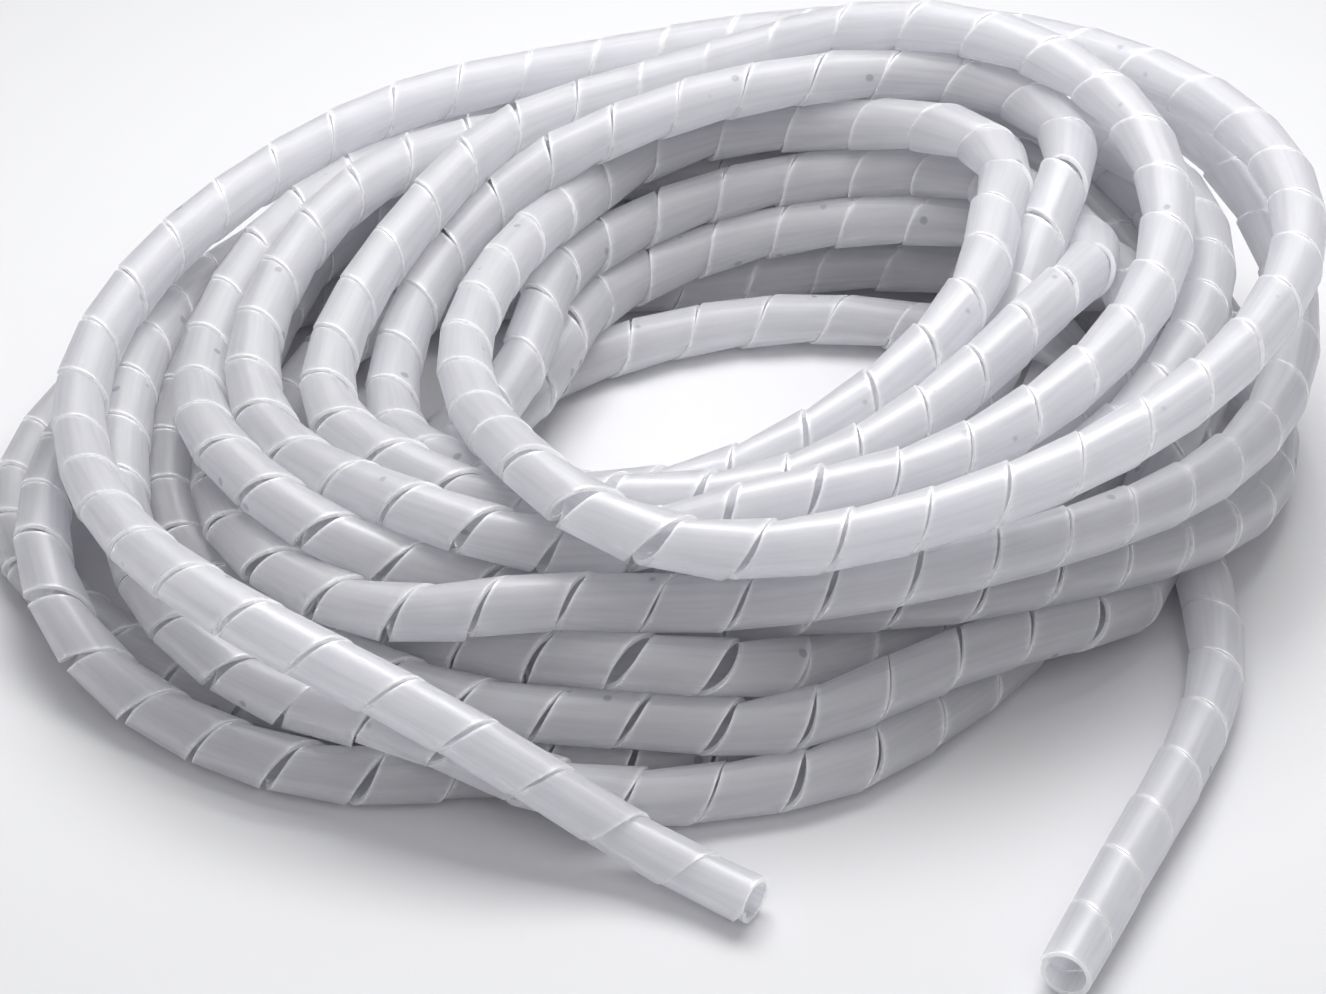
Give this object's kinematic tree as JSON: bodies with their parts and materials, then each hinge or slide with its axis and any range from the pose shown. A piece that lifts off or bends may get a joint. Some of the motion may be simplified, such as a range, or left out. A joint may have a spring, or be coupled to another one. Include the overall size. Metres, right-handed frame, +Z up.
{
  "type": "spiral guard tube",
  "caption": "Loose oval coil of spiral-cut translucent polyethylene tube with two free cut ends, for wrapping round a stem, cane or cable bundle.",
  "frame": {"origin": "on the surface the coil rests on, under the middle of the whole part's box", "axes": "+Z up; +Y towards the high side of the coil; the two free ends point to -Y; +X to the right seen from the free ends"},
  "size_m": [0.2928, 0.2834, 0.0756],
  "materials": {
    "tube": "satin, natural translucent low-density polyethylene"
  },
  "bodies": {
    "root": {"coil": "tube", "front_tail": "tube", "front_end": "tube", "right_tail": "tube", "right_end": "tube"}
  },
  "joints": []
}
